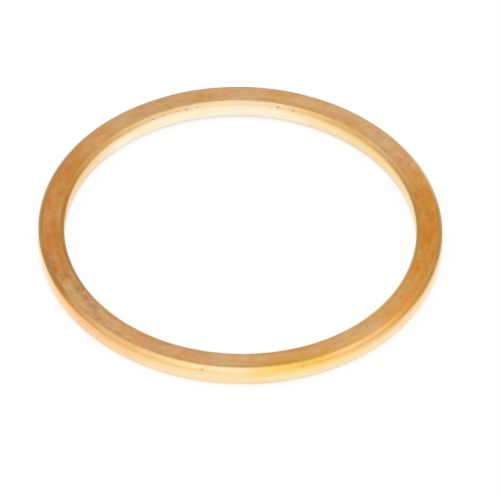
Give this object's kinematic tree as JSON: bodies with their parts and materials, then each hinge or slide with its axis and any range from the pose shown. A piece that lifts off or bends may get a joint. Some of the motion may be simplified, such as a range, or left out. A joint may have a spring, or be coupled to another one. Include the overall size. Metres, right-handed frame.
{
  "type": "exhaust pipe gasket",
  "caption": "Flat solid copper sealing ring with chamfered edges, crushed between an exhaust pipe's flange and the exhaust port.",
  "frame": {"origin": "centre of the ring at its lower sealing face", "axes": "+Z along the ring's axis, out of its upper sealing face; X and Y across the ring"},
  "size_m": [0.0442, 0.0442, 0.0025],
  "materials": {
    "copper": "bare turned copper: satin flat faces with faint rings and light oxide mottling, brighter walls and chamfers"
  },
  "bodies": {
    "root": {"gasket_ring": "copper"}
  },
  "joints": []
}
